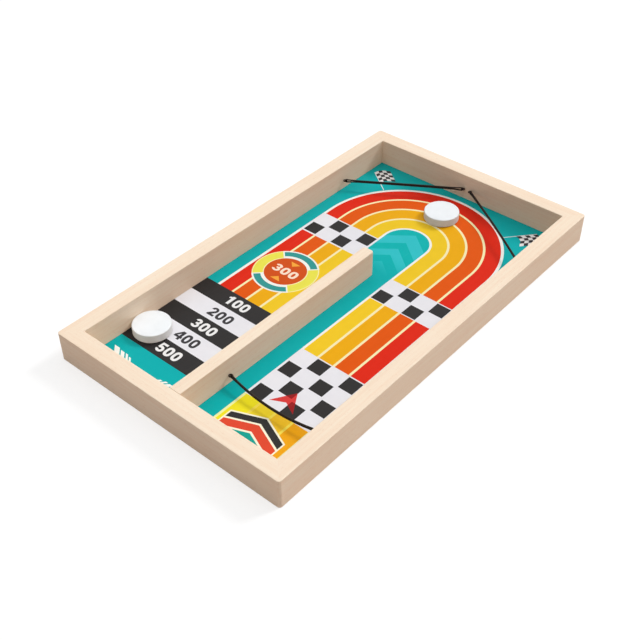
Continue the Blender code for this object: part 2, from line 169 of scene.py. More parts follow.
def straight_grain_group():
    """Close straight grain along X: its tone, its roughness and the height of its fibres."""
    tree, given, result = node_group(
        "ShaderNodeTree",
        "straight grain",
        {"Place": "Vector", "Pale": "Color", "Deep": "Color", "Fleck": "Color"},
        {"Colour": "Color", "Roughness": "Float", "Height": "Float"},
    )
    place = given["Place"]
    wander = noise(place, (6, 14, 14), 2.0)
    drift = add_node("CombineXYZ", {1: times(wander, 6 * MM), 2: times(wander, 4 * MM)})
    bent = add_node("VectorMath", {0: place, 1: drift.outputs[0]}, operation="ADD").outputs[0]
    rings = noise(bent, (7, 330, 330), 3.0, 0.55)
    fibres = noise(bent, (55, 2300, 2300), 3.0, 0.6)
    flecks = fade(noise(bent, (210, 1500, 1500), 2.0), 0.6, 0.74)
    clouds = noise(place, (9, 22, 22), 2.0)
    tone = scaled(clouds, 0.5, scaled(fibres, 0.45, scaled(rings, 0.9, -0.12)))
    colour = paint(given["Pale"], fade(tone, 0.45, 1.25), given["Deep"])
    feed(result, {
        "Colour": paint(colour, times(flecks, 0.55), given["Fleck"]),
        "Roughness": scaled(fibres, 0.16, 0.46),
        "Height": scaled(flecks, -0.5, fibres),
    })
    return tree


EDGE_RUB = edge_rub_group()
STRAIGHT_GRAIN = straight_grain_group()


def rubbed_edges(place, width):
    return add_node("Group", {"Place": place, "Width": width}, node_tree=EDGE_RUB).outputs["Rub"]


def straight_grain(place, pale, deep, fleck):
    inputs = {"Place": place, "Pale": pale, "Deep": deep, "Fleck": fleck}
    return add_node("Group", inputs, node_tree=STRAIGHT_GRAIN).outputs


def wood_material(name, turn, cut_from, tones, rubbed):
    """Bare, lightly sealed wood whose grain is turned from X, cut from its own spot in the log."""
    made, shader, place = start_material(name)
    inputs = {"Vector": place, "Location": cut_from, "Rotation": (0, 0, math.radians(turn))}
    grain = straight_grain(add_node("Mapping", inputs).outputs[0], *tones)
    rub = rubbed_edges(place, WORN_EDGE)
    # Lighter along the edges: partly wear, partly a painted highlight on the roundings.
    colour = paint(grain["Colour"], times(rub, 0.5), rubbed)
    roughness = scaled(rub, -0.12, grain["Roughness"])
    finish_surface(shader, colour, roughness, 0.3, grain["Height"], 0.05 * MM)
    return made


def new_piece(name, mesh, *materials):
    made = bpy.data.objects.new(name, mesh)
    bpy.context.scene.collection.objects.link(made)
    for finish in materials:
        mesh.materials.append(finish)
    return made


def shade_round(mesh, sharp=SHARP_EDGE):
    mesh.shade_smooth()
    mesh.set_sharp_from_angle(angle=sharp)


def shade_evenly(piece):
    """Smooth roundings between flats that stay flat."""
    shade_round(piece.data)
    even = piece.modifiers.new("even_shading", "WEIGHTED_NORMAL")
    even.keep_sharp = True


def close_mitre(point):
    """Brings a mitred end to within a glue line of the corner's middle plane."""
    from_side = HALF_WIDTH - abs(point.x)
    from_end = HALF_LENGTH - abs(point.y)
    apart = from_end - from_side
    if GLUE_LINE < abs(apart) < FITTING_GAP:
        shift = abs(apart) - GLUE_LINE
        if apart > 0:
            point.y += math.copysign(shift, point.y)
        else:
            point.x += math.copysign(shift, point.x)


def planed_piece(node_name, finish, close_joint):
    """A welded copy of a wooden CAD node with its glued joint closed."""
    bm = bmesh.new()
    bm.from_mesh(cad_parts[node_name].data)
    bmesh.ops.remove_doubles(bm, verts=bm.verts, dist=WELD)
    for vert in bm.verts:
        close_joint(vert.co)
    bm.verts.index_update()
    mesh = bpy.data.meshes.new(node_name + "_planed")
    faces = [[vert.index for vert in face.verts] for face in bm.faces]
    mesh.from_pydata([vert.co for vert in bm.verts], [], faces)
    bm.free()
    piece = new_piece(node_name + "_planed", mesh, finish)
    shade_evenly(piece)
    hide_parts(node_name)
    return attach(piece, "tray")


PALE_WOOD = (screen(255, 237, 214), screen(250, 223, 196), screen(236, 198, 166))
RUBBED_AND_HIGHLIT_WOOD = screen(255, 241, 221)
RAILS = {
    "front_rail": (0, 0.31),
    "back_rail": (0, 1.27),
    "left_rail": (90, 2.11),
    "right_rail": (90, 3.43),
}
for rail, (turn, spot) in RAILS.items():
    cut_from = (spot, spot * 2, spot)
    rail_wood = wood_material(rail + "_wood", turn, cut_from, PALE_WOOD, RUBBED_AND_HIGHLIT_WOOD)
    planed_piece(rail, rail_wood, close_mitre)


# Dowels
# Short pegs of straight beech, glued across each mitre and between the divider and the front
# rail. They are wholly inside the wood, so their CAD shapes stay.

BEECH = (screen(222, 186, 148), screen(205, 160, 120), screen(160, 112, 78))
beech = wood_material("beech_peg", 0, (0.4, 0.1, 0.9), BEECH, screen(230, 196, 160))
for name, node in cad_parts.items():
    if "dowel" in name:
        node.material_slots[0].material = beech


# Base board
# A thin three-ply panel let into the rebate under the rails, its face grain running the long way.
# Its shape is the CAD node's; the layers show on its cut edges and in the screw holes.

PLY = (screen(226, 194, 152), screen(203, 163, 118), screen(165, 120, 80))
PLY_CORE = screen(150, 108, 72)
PLY_MIDDLE = (0.8 * MM, 1.6 * MM)
PLY_WORN_EDGE = 0.6 * MM


def inside(value, low, high):
    """1 where the value is from low to high."""
    return work("COMPARE", value, (low + high) / 2, (high - low) / 2)


def plywood_material():
    made, shader, place = start_material("three_ply")
    turned = add_node("Mapping", {"Vector": place, "Rotation": (0, 0, math.radians(90))})
    face = straight_grain(turned.outputs[0], *PLY)
    core = straight_grain(place, *PLY)
    middle = inside(add_node("SeparateXYZ", {0: place}).outputs[2], *PLY_MIDDLE)
    colour = paint(face["Colour"], middle, paint(core["Colour"], 0.35, PLY_CORE))
    colour = paint(colour, times(rubbed_edges(place, PLY_WORN_EDGE), 0.4), PLY[2])
    roughness = work("ADD", face["Roughness"], 0.12)
    finish_surface(shader, colour, roughness, 0.25, face["Height"], 0.08 * MM, 0.6)
    return made


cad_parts["base_board"].material_slots[0].material = plywood_material()


# Printed sheet
# A smooth film printed with the track, glued on the board inside the rails. Four lanes run up
# the launch side, round the far end and down the scoring side; all of it is worked out in
# millimetres from Object coordinates.

TRACK_X = 0.1
ARC_Y = 119.4
LANE_START = 30.7
LANE_PITCH = 20.6
LANE_WIDTH = 17.8
LANES_END = LANE_START + 3 * LANE_PITCH + LANE_WIDTH
INNER_LINE = 28.0
OUTER_LINE = 113.7
CHECK_ROW = (0.062, 0.938)
KEEPS_POSITIVE = 20.0
LEFT_CHECKS = (63.4, 106.7)
RIGHT_CHECKS = (14.4, 55.4)
LAUNCH_CHECKS = (-179.5, -95.0)
SCORE_EDGES = (-74.9, -99.3, -124.9, -149.6, -175.0, -200.3)
SCORE_SPAN = (-131.0, -6.4)
TEAL = screen(0, 174, 176)
PAINTED_LIGHT_TEAL = screen(0, 182, 180)
PALE_TEAL = screen(50, 196, 202)
LANE_INKS = [
    screen(244, 203, 38), screen(241, 174, 12), screen(229, 89, 6), screen(224, 40, 16)
]
START_INKS = [
    screen(241, 228, 34), screen(243, 216, 46), screen(242, 194, 40), screen(241, 168, 18)
]
START_LINE = screen(247, 224, 84)
START_EDGE = screen(240, 245, 172)
PAINTED_BOUNCE_TONE = screen(170, 149, 138)
LINE_CREAM = screen(253, 242, 186)
LINE_WHITE = screen(247, 248, 242)
PRINT_BLACK = screen(45, 43, 43)
PRINT_WHITE = screen(237, 236, 241)


def minus(value, less):
    return work("SUBTRACT", value, less)


def off(value, middle):
    """How far the value is from the middle, to either side."""
    return work("ABSOLUTE", minus(value, middle))


def under(value, limit):
    return work("LESS_THAN", value, limit)


def over(value, limit):
    return work("GREATER_THAN", value, limit)


def from_centre(across, along):
    """The distance from the middle of a round shape."""
    return work("SQRT", work("ADD", times(across, across), times(along, along)))


film, film_shader, sheet_place = start_material("printed_film")
millimetres = add_node("VectorMath", {0: sheet_place, "Scale": 1 / MM}, operation="SCALE")
x, y, _ = add_node("SeparateXYZ", {0: millimetres.outputs[0]}).outputs
side = minus(x, TRACK_X)
sideways = work("ABSOLUTE", side)
reach = from_centre(side, work("MAXIMUM", minus(y, ARC_Y), 0.0))
on_left = under(side, 0.0)
on_right = minus(1.0, on_left)

lane_run = work("DIVIDE", minus(reach, LANE_START), LANE_PITCH)
lane = work("FLOOR", lane_run)
lane_part = times(minus(lane_run, lane), LANE_PITCH)
in_lanes = inside(reach, LANE_START, LANES_END)
on_lane = times(under(lane_part, LANE_WIDTH), in_lanes)


def lane_colours(inks):
    colour = inks[0]
    for count, ink in enumerate(inks[1:], start=1):
        colour = paint(colour, over(reach, LANE_START + count * LANE_PITCH - 1.0), ink)
    return colour


def check_cells(top, pitch, parity):
    """1 on the black cells of a chequered band that has its first row at top."""
    row_run = work("DIVIDE", minus(top, y), pitch)
    row = work("FLOOR", row_run)
    in_row = inside(minus(row_run, row), *CHECK_ROW)
    count = work("ADD", work("ADD", row, lane), KEEPS_POSITIVE + parity)
    odd = work("MODULO", count, 2.0)
    return times(on_lane, in_row, under(odd, 0.5))


# The ground, brighter between the legs of the track as painted light on the open middle of the
# board, with pale arrows there
between_legs = times(under(reach, INNER_LINE), fade(y, 52.0, 96.0))
art = paint(TEAL, between_legs, PAINTED_LIGHT_TEAL)
arrow_run = scaled(sideways, 0.8, y)
for low, high in ((120.7, 140.0), (90.7, 105.7), (62.0, 75.0)):
    art = paint(art, times(between_legs, inside(arrow_run, low, high)), PALE_TEAL)

# The lanes and the lines beside them
edge_line = minus(1.0, in_lanes)
track = paint(LINE_CREAM, edge_line, LINE_WHITE)
track = paint(track, on_lane, lane_colours(LANE_INKS))

# The start zone, where the lanes turn paler
start_track = paint(START_LINE, on_lane, lane_colours(START_INKS))
start_track = paint(start_track, edge_line, START_EDGE)
track = paint(track, times(on_right, under(y, LAUNCH_CHECKS[0])), start_track)

# The chequered bands across the lanes
for where, (low, high), top, pitch, parity in (
    (on_left, LEFT_CHECKS, 106.4, 21.0, 0),
    (on_right, RIGHT_CHECKS, 55.4, 20.55, 1),
    (on_right, LAUNCH_CHECKS, -95.2, 21.0, 1),
):
    band = paint(PRINT_WHITE, check_cells(top, pitch, parity), PRINT_BLACK)
    track = paint(track, times(where, inside(y, low, high)), band)
on_legs = work("MAXIMUM", times(on_left, over(y, SCORE_EDGES[0])), on_right)
art = paint(art, times(inside(reach, INNER_LINE, OUTER_LINE), on_legs), track)

# Score bands across the near end of the scoring lane
in_score_lane = inside(x, *SCORE_SPAN)
art = paint(art, times(in_score_lane, under(y, SCORE_EDGES[0])), TEAL)
for count, (high, low) in enumerate(zip(SCORE_EDGES, SCORE_EDGES[1:])):
    ink = PRINT_WHITE if count % 2 else PRINT_BLACK
    art = paint(art, times(in_score_lane, inside(y, low, high)), ink)

# White arrows that point in from both sides, behind the last band
ARROWS_X = -71.0
ARROWS_Y = {"left": -229.3, "right": -231.4}
ARROW_STROKES = (
    (30.2, 37.9, 13.4), (22.8, 28.2, 12.0), (17.4, 20.6, 12.0), (12.8, 15.8, 10.4)
)
from_middle = minus(x, ARROWS_X)
for side_name, axis_y in ARROWS_Y.items():
    run_in = from_middle if side_name == "right" else times(from_middle, -1.0)
    off_axis = off(y, axis_y)
    arrow_reach = minus(run_in, off_axis)
    for low, high, half_height in ARROW_STROKES:
        stroke = times(inside(arrow_reach, low, high), under(off_axis, half_height))
        art = paint(art, times(in_score_lane, stroke), LINE_WHITE)

# The roundel in the scoring lane: a yellow ring with two teal arcs, round an orange disc that
# has an arrow above its number and one below
ROUNDEL = (-71.0, -10.3)
ring_x, ring_y = minus(x, ROUNDEL[0]), minus(y, ROUNDEL[1])
ring_run = from_centre(ring_x, ring_y)
wide, tall = work("ABSOLUTE", ring_x), work("ABSOLUTE", ring_y)
steep = minus(tall, wide)
for mask, ink in (
    (under(ring_run, 38.0), screen(250, 243, 172)),
    (under(ring_run, 36.8), screen(238, 231, 84)),
    (times(under(ring_run, 38.2), over(steep, -0.7)), LINE_WHITE),
    (times(inside(ring_run, 28.3, 36.2), over(steep, 1.5)), screen(52, 152, 148)),
    (times(under(ring_run, 25.6), under(steep, -0.7)), LINE_CREAM),
    (under(ring_run, 24.4), screen(212, 82, 22)),
    (times(inside(tall, 11.3, 18.1), under(wide, minus(tall, 11.3))), screen(250, 172, 62)),
):
    art = paint(art, mask, ink)

# A stack of plain arrows in the start zone, and a see-through red arrow over the checks
STACK_X = 69.5
stack_wide = off(x, STACK_X)
stack_run = scaled(stack_wide, 0.42, y)
for low, high, reach_out, ink in (
    (-231.5, -190.6, 35.0, screen(250, 246, 220)),
    (-200.6, -192.6, 33.4, PRINT_BLACK),
    (-213.6, -203.0, 33.4, screen(222, 74, 48)),
    (-229.5, -216.0, 33.4, screen(14, 160, 146)),
):
    art = paint(art, times(inside(stack_run, low, high), under(stack_wide, reach_out)), ink)
DART_X = 68.6
DART_TIP = -147.0
DART_NOTCH = -164.0
dart_wide = off(x, DART_X)
below_sides = under(scaled(dart_wide, 1.6, y), DART_TIP)
dart = times(below_sides, over(scaled(dart_wide, 0.5, y), DART_NOTCH))
art = paint(art, dart, screen(232, 78, 72), "MULTIPLY")
art = paint(art, times(dart, 0.4), screen(224, 40, 44))

# The ink and the film: slight mottling, rubbed streaks where pucks run, a soft sheen, and a painted
# warm tone for bounced light
mottle = noise(sheet_place, 95, 5.0, 0.6)
speckle = noise(sheet_place, 2100, 2.0)
streaks = fade(noise(sheet_place, (900, 14, 14)), 0.62, 0.8)
art = paint(art, times(mottle, 0.1), screen(120, 118, 120), "MULTIPLY")
art = paint(art, times(streaks, 0.02), LINE_WHITE)
art = paint(art, times(fade(speckle, 0.66, 0.8), 0.03), LINE_WHITE)
# Painted light: to bounced light the film shows a warm pink tone in place of its print, so the
# light it throws onto the rails' inner faces is warm instead of teal.
film_rays = film.node_tree.nodes.new("ShaderNodeLightPath").outputs
art = paint(art, times(film_rays["Is Diffuse Ray"], 0.7), PAINTED_BOUNCE_TONE)
gloss = scaled(streaks, 0.15, scaled(mottle, 0.22, 0.3))
film_height = scaled(streaks, -0.6, scaled(speckle, 0.25, mottle))
finish_surface(film_shader, art, gloss, 0.1, film_height, 0.02 * MM)
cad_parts["playfield_sheet"].material_slots[0].material = film


# Printed numbers and corner flags
# Heavy upright figures and small waved flags, laid on the film as thick ink that stands a
# few hundredths of a millimetre proud. Each figure is one closed outline, with a hole or without.

INK_BOTTOM = 2.98 * MM
INK_TOP = 3.03 * MM
FIGURE_PITCH = 11.1


def arc(middle, radii, first, last, steps=14):
    """Points in millimetres on an oval arc, between two angles in degrees."""
    angles = [math.radians(first + (last - first) * step / steps) for step in range(steps + 1)]
    return [
        (middle[0] + radii[0] * math.cos(a), middle[1] + radii[1] * math.sin(a)) for a in angles
    ]


def squared_oval(radii, power, steps=40):
    """An upright oval with straightened sides."""
    points = []
    for step in range(steps):
        angle = math.tau * step / steps
        across, along = math.cos(angle), math.sin(angle)
        points.append((
            math.copysign(abs(across) ** (2 / power), across) * radii[0],
            math.copysign(abs(along) ** (2 / power), along) * radii[1],
        ))
    return points


FIGURES = {
    "0": [squared_oval((4.8, 7.0), 2.5), squared_oval((1.6, 3.95), 2.3)],
    "1": [
        [(2.9, 6.9), (2.9, -6.9), (-0.8, -6.9), (-0.8, 2.5), (-3.9, 2.5), (-3.9, 4.7),
         (-1.7, 5.2), (-0.4, 6.9)],
    ],
    "2": [
        arc((0, 2.5), (4.7, 4.5), 176, -34)
        + [(0.7, -4.0), (4.8, -4.0), (4.8, -6.9), (-4.8, -6.9), (-4.6, -4.9), (-3.4, -3.2)]
        + arc((0, 2.6), (1.5, 1.7), -42, 176)
    ],
    "3": [
        arc((-0.1, 3.2), (4.4, 3.8), 168, -33)
        + arc((-0.1, -2.8), (4.9, 4.2), 47, -168)
        + arc((-0.1, -2.6), (1.6, 1.55), -160, 90)
        + [(-1.5, -1.05), (-1.5, 1.45)]
        + arc((-0.1, 2.75), (1.4, 1.3), -90, 160)
    ],
    "4": [
        [(4.0, 6.9), (4.0, -1.2), (5.4, -1.2), (5.4, -4.0), (4.0, -4.0), (4.0, -6.9), (0.7, -6.9),
         (0.7, -4.0), (-5.1, -4.0), (-5.1, -1.1), (-0.1, 6.9)],
        [(0.7, 3.1), (0.7, -1.2), (-2.1, -1.2)],
    ],
    "5": [
        [(-3.6, 6.9), (4.3, 6.9), (4.3, 4.1), (-1.0, 4.1), (-1.3, 1.9)]
        + arc((-0.1, -2.4), (4.9, 4.6), 100, -168)
        + arc((-0.1, -2.4), (1.6, 1.65), -160, 140)
        + [(-4.4, -0.7)]
    ],
}


def wall(bm, low, high):
    """Faces all round between two loops that have as many points."""
    made = []
    for here in range(len(low)):
        after = (here + 1) % len(low)
        made.append(bm.faces.new((low[here], low[after], high[after], high[here])))
    return made


def finished_mesh(name, bm):
    mesh = bpy.data.meshes.new(name)
    bm.to_mesh(mesh)
    bm.free()
    return mesh


def ink_shape(bm, outlines, place, stretch=(1.0, 1.0), finish=0):
    """A closed slip of ink with the outlines' shape, in millimetres round its place."""
    flat = [[Vector((px * stretch[0], py * stretch[1], 0)) for px, py in line] for line in outlines]
    levels = []
    for height in (INK_BOTTOM, INK_TOP):
        levels.append([
            [bm.verts.new(((p.x + place[0]) * MM, (p.y + place[1]) * MM, height)) for p in line]
            for line in flat
        ])
    bottom, top = ([v for line in level for v in line] for level in levels)
    made = []
    for corners in tessellate_polygon(flat):
        made.append(bm.faces.new([top[c] for c in corners]))
        made.append(bm.faces.new([bottom[c] for c in reversed(corners)]))
    for low, high in zip(*levels):
        made += wall(bm, low, high)
    for face in made:
        face.material_index = finish


def ink_material(name, ink, worn):
    """Thick printing ink, a little patchy, with a dull sheen."""
    made, shader, place = start_material(name)
    patchy = noise(place, 700, 4.0, 0.65)
    specks = fade(noise(place, 2600, 2.0), 0.64, 0.78)
    colour = paint(ink, scaled(patchy, 0.16, times(specks, 0.1)), worn)
    finish_surface(shader, colour, scaled(patchy, 0.2, 0.35), 0.1, patchy, 0.01 * MM)
    return made


def lay_ink(name, bm, *inks):
    bmesh.ops.recalc_face_normals(bm, faces=bm.faces)
    piece = new_piece(name, finished_mesh(name, bm), *inks)
    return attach(piece, "tray")


white_ink = ink_material("white_ink", screen(240, 239, 238), screen(205, 203, 203))
cream_ink = ink_material("cream_ink", screen(254, 229, 207), screen(232, 196, 168))
dark_ink = ink_material("dark_ink", screen(55, 53, 56), screen(88, 86, 89))

NUMBER_X = -71.4
NUMBERS = [
    (f"{band}00", (NUMBER_X, along), (1.0, 1.0), white_ink if band % 2 else dark_ink)
    for band, along in enumerate((-87.0, -112.6, -137.2, -162.2, -187.6), start=1)
]
NUMBERS.append(("300", ROUNDEL, (1.06, 0.92), cream_ink))
for count, (number, middle, stretch, ink) in enumerate(NUMBERS, start=1):
    slips = bmesh.new()
    for step, figure in enumerate(number, start=-1):
        at = (middle[0] + step * FIGURE_PITCH * stretch[0], middle[1])
        ink_shape(slips, FIGURES[figure], at, stretch)
    lay_ink(f"score_number_{count}", slips, ink)

FLAG_FEET = {"left": ((-88.4, 192.6), 53.5, 0), "right": ((79.4, 202.2), -40.5, 1)}
FLAG_CELLS = (4, 5)
FLAG_WIDTH = 19.5
FLAG_LOW_EDGE = 17.0
FLAG_WAVE = 2.4
FLAG_WAVE_TURN = 4.2
POLE_LENGTH = 42.5
POLE_WIDTH = 0.9


def waved(run, rise, turn):
    """A point of the cloth: run and rise go from 0 to 1 away from the pole and up it."""
    across = run * FLAG_WIDTH + POLE_WIDTH / 2
    wave = FLAG_WAVE * math.sin(run * FLAG_WAVE_TURN)
    along = FLAG_LOW_EDGE + rise * (POLE_LENGTH - FLAG_LOW_EDGE) + wave
    return Vector((across, along)) @ Matrix.Rotation(-turn, 2)


for side_name, (foot, turn, first_ink) in FLAG_FEET.items():
    slips = bmesh.new()
    turn = math.radians(turn)
    columns, rows = FLAG_CELLS
    for column in range(columns):
        for row in range(rows):
            runs = [(column + part / 4) / columns for part in range(5)]
            low = [waved(run, row / rows, turn) for run in runs]
            high = [waved(run, (row + 1) / rows, turn) for run in reversed(runs)]
            ink_shape(slips, [low + high], foot, finish=(column + row + first_ink) % 2)
    corners = [(-1, 0), (1, 0), (1, POLE_LENGTH), (-1, POLE_LENGTH)]
    pole = [Vector((px * POLE_WIDTH / 2, py)) @ Matrix.Rotation(-turn, 2) for px, py in corners]
    ink_shape(slips, [pole], foot)
    lay_ink(f"{side_name}_corner_flag", slips, white_ink, dark_ink)


# Lane divider
# A strip of the same wood between the two lanes, butted and dowelled to the front rail, with a
# rounded far end. It is a welded copy of the CAD node with its near end closed up to the rail.

INNER_Y = 243 * MM


def close_divider_end(point):
    """Brings the divider's near end up to the front rail."""
    if point.y < FITTING_GAP * 1.5 - INNER_Y:
        point.y = GLUE_LINE - INNER_Y


divider_wood = wood_material("divider_wood", 90, (4.2, 5.6, 1.3), PALE_WOOD, RUBBED_AND_HIGHLIT_WOOD)
planed_piece("lane_divider", divider_wood, close_divider_end)


# Wood screws
# Fifteen zinc-plated countersunk screws with a cross recess, driven up through the board into
# the rails and the divider. One turned and threaded blank is set in every hole, each turned
# a different way as it came out of the driver.

SCREW_FOOT = 0.2
SCREW_TIP = 14.2
SCREW_SIDES = 24
HEAD_RADIUS = 2.8
HEAD_HEIGHT = 1.5
SHANK_RADIUS = 1.4
THREAD_START = 4.6
THREAD_PITCH = 1.1
THREAD_STEPS = 8
RIDGE_WIDTH = 0.24
POINT_RADIUS = 0.03
RECESS_LENGTH = 3.1
RECESS_WIDTH = 0.7
RECESS_DEPTH = 0.9
RECESS_TAPER = 0.72


def turned_solid(rings, sides):
    """A closed solid about Z from rings of height and radius in millimetres, bottom first.

    A radius may be a function of how far round the ring a point is, from 0 to 1.
    """
    bm = bmesh.new()
    loops = []
    for height, radius in rings:
        loop = []
        for count in range(sides):
            turn = count / sides
            out = radius(turn) if callable(radius) else radius
            angle = math.tau * turn
            point = (out * math.cos(angle) * MM, out * math.sin(angle) * MM, height * MM)
            loop.append(bm.verts.new(point))
        loops.append(loop)
    for low, high in zip(loops, loops[1:]):
        wall(bm, low, high)
    base = bm.verts.new((0, 0, rings[0][0] * MM))
    crown = bm.verts.new((0, 0, rings[-1][0] * MM))
    for here in range(sides):
        after = (here + 1) % sides
        bm.faces.new((base, loops[0][after], loops[0][here]))
        bm.faces.new((crown, loops[-1][here], loops[-1][after]))
    return finished_mesh("turned", bm)


def thread_rings(start, tip, pitch, root, crest, taper):
    """Rings of a tapering screw thread from its start to its point."""
    steps = round(abs(tip - start) / pitch * THREAD_STEPS)
    rings = []
    for step in range(1, steps):
        height = start + (tip - start) * step / steps
        left = abs(tip - height)
        slim = min(1.0, 0.12 + 0.88 * left / taper)

        def ridge(turn, height=height, slim=slim):
            phase = (abs(height - start) / pitch + turn * math.copysign(1, start - tip)) % 1.0
            return (root + (crest - root) * max(0.0, 1.0 - abs(phase - 0.5) / RIDGE_WIDTH)) * slim

        rings.append((height, ridge))
    return rings


def point_value(tree, name, data_type):
    """What a piece's points carry under a name, in a Geometry Nodes tree."""
    kind = "GeometryNodeInputNamedAttribute"
    return add_node(kind, {"Name": name}, tree, data_type=data_type).outputs[0]


def end_tree(grown, given, result):
    """Ends a Geometry Nodes tree with plain geometry in its finish."""
    real = add_node("GeometryNodeRealizeInstances", {"Geometry": grown}).outputs[0]
    inputs = {"Geometry": real, "Material": given["Finish"]}
    feed(result, {0: add_node("GeometryNodeSetMaterial", inputs).outputs[0]})


def fixings_tree():
    """Sets a fixing on every point, along the point's heading, turned by a random amount."""
    named = {
        "Geometry": "Geometry", "Fixing": "Object", "Most turn": "Float", "Seed": "Int",
        "Finish": "Material",
    }
    tree, given, result = node_group(
        "GeometryNodeTree", "set fixings", named, {"Geometry": "Geometry"}
    )
    fixing = add_node("GeometryNodeObjectInfo", {"Object": given["Fixing"]}).outputs["Geometry"]
    aimed = add_node(
        "FunctionNodeAxesToRotation",
        {
            "Primary Axis": point_value(tree, "heading", "FLOAT_VECTOR"),
            "Secondary Axis": point_value(tree, "flat_side", "FLOAT_VECTOR"),
        },
        primary_axis="Z",
        secondary_axis="Y",
    )
    limits = {3: given["Most turn"], "Seed": given["Seed"]}
    chance = add_node("FunctionNodeRandomValue", limits, data_type="FLOAT").outputs[1]
    spin = add_node("FunctionNodeAxisAngleToRotation", {"Axis": (0, 0, 1), "Angle": chance})
    turns = {0: aimed.outputs[0], 1: spin.outputs[0]}
    turned = add_node("FunctionNodeRotateRotation", turns, rotation_space="LOCAL").outputs[0]
    inputs = {"Points": given["Geometry"], "Instance": fixing, "Rotation": turned}
    end_tree(add_node("GeometryNodeInstanceOnPoints", inputs).outputs[0], given, result)
    return tree


def grown_piece(name, source, tree, values):
    """The plain mesh that a Geometry Nodes tree makes from a source object."""
    growth = source.modifiers.new(tree.name, "NODES")
    growth.node_group = tree
    for item in tree.interface.items_tree:
        if item.in_out == "INPUT" and item.name in values:
            growth[item.identifier] = values[item.name]
    bpy.context.view_layer.update()
    graph = bpy.context.evaluated_depsgraph_get()
    mesh = bpy.data.meshes.new_from_object(
        source.evaluated_get(graph), preserve_all_data_layers=True, depsgraph=graph
    )
    mesh.name = name
    bpy.data.objects.remove(source)
    return new_piece(name, mesh)


SET_FIXINGS = fixings_tree()


def set_fixings(name, blank, places, finish, most_turn, seed):
    """One piece with the blank at each place: a foot, a heading and the way its flat side faces."""
    points = bpy.data.meshes.new(name + "_places")
    points.from_pydata([foot for foot, _, _ in places], [], [])
    for label, column in (("heading", 1), ("flat_side", 2)):
        arrows = points.attributes.new(label, "FLOAT_VECTOR", "POINT")
        for item, place in zip(arrows.data, places):
            item.vector = place[column]
    values = {"Fixing": blank, "Most turn": most_turn, "Seed": seed, "Finish": finish}
    piece = grown_piece(name, new_piece(name + "_places", points), SET_FIXINGS, values)
    bpy.data.objects.remove(blank)
    return piece


def metal_material(name, bright, dull, stain, roughness, edge_width):
    """Plated or browned metal, clouded, finely scratched and brighter along its edges."""
    made, shader, place = start_material(name)
    clouds = noise(place, 420, 4.0, 0.6)
    scratches = fade(noise(place, (9000, 500, 2500), 2.0), 0.6, 0.75)
    stains = fade(noise(place, 900), 0.58, 0.75)
    colour = paint(bright, fade(clouds, 0.3, 0.7), dull)
    colour = paint(colour, times(stains, 0.5), stain)
    colour = paint(colour, times(rubbed_edges(place, edge_width), 0.6), bright)
    height = scaled(scratches, -0.5, clouds)
    finish_surface(shader, colour, scaled(clouds, 0.25, roughness), 0.5, height, 0.01 * MM)
    feed(shader, {"Metallic": scaled(stains, -0.35, 1.0)})
    return made


def screw_blank():
    """A screw standing on its head, with its cross recess cut into the head."""
    head_top = SCREW_FOOT + HEAD_HEIGHT
    rings = [
        (SCREW_FOOT, HEAD_RADIUS - 0.15),
        (SCREW_FOOT + 0.06, HEAD_RADIUS - 0.03),
        (SCREW_FOOT + 0.15, HEAD_RADIUS),
        (head_top - 0.2, SHANK_RADIUS + 0.12),
        (head_top, SHANK_RADIUS),
        (THREAD_START, SHANK_RADIUS),
    ]
    rings += thread_rings(
        THREAD_START, SCREW_TIP, THREAD_PITCH, root=0.95, crest=SHANK_RADIUS, taper=2.6
    )
    rings.append((SCREW_TIP, POINT_RADIUS))
    blank = new_piece("screw_blank", turned_solid(rings, SCREW_SIDES))
    arms = []
    for across, along in ((RECESS_LENGTH, RECESS_WIDTH), (RECESS_WIDTH, RECESS_LENGTH)):
        bm = bmesh.new()
        size = Matrix.Diagonal((across * MM, along * MM, 2 * RECESS_DEPTH * MM, 1.0))
        place = Matrix.Translation((0, 0, SCREW_FOOT * MM)) @ size
        bmesh.ops.create_cube(bm, size=1.0, matrix=place)
        for vert in bm.verts:
            if vert.co.z > 0:
                vert.co.x *= RECESS_TAPER
                vert.co.y *= RECESS_TAPER
        arms.append(new_piece("recess_arm", finished_mesh("recess_arm", bm)))
        cut = blank.modifiers.new("recess", "BOOLEAN")
        cut.object = arms[-1]
        cut.solver = "EXACT"
    bpy.context.view_layer.update()
    graph = bpy.context.evaluated_depsgraph_get()
    finished = new_piece("screw", bpy.data.meshes.new_from_object(blank.evaluated_get(graph)))
    for used in (blank, *arms):
        bpy.data.objects.remove(used)
    shade_round(finished.data)
    return finished


UP = Vector((0, 0, 1))
SIDE_SCREWS = [(hand * 134.5, along) for hand in (-1, 1) for along in (-200, -67, 67, 200)]
END_SCREWS = [(across, hand * 247) for hand in (-1, 1) for across in (-80, 80)]
DIVIDER_SCREWS = [(0.6, along) for along in (-200, -90, 20)]
SCREW_SEED = 7
screw_places = [
    (Vector((across * MM, along * MM, 0)), UP, Vector((0, 1, 0)))
    for across, along in SIDE_SCREWS + END_SCREWS + DIVIDER_SCREWS
]
zinc = metal_material(
    "zinc_plate", screen(214, 214, 206), screen(172, 174, 172), screen(150, 140, 112),
    roughness=0.22, edge_width=0.15 * MM,
)
screws = set_fixings("wood_screws", screw_blank(), screw_places, zinc, math.tau, SCREW_SEED)
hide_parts(*[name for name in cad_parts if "_screw_" in name])
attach(screws, "tray")


# Screw eyes
# Six small eyes bent from browned wire, screwed into the rails and the divider with their rings
# lying level, two for each elastic. A ring stops just short of closing against its own neck.

EYE_WIRE = 0.65
EYE_RING = 1.9
EYE_STANDOFF = 2.4
EYE_DEPTH = 8.0
EYE_Z = 14.0
BACK_EYE_Z = 16.5
RING_TURN = (-90, 252)
RING_STEPS = 48


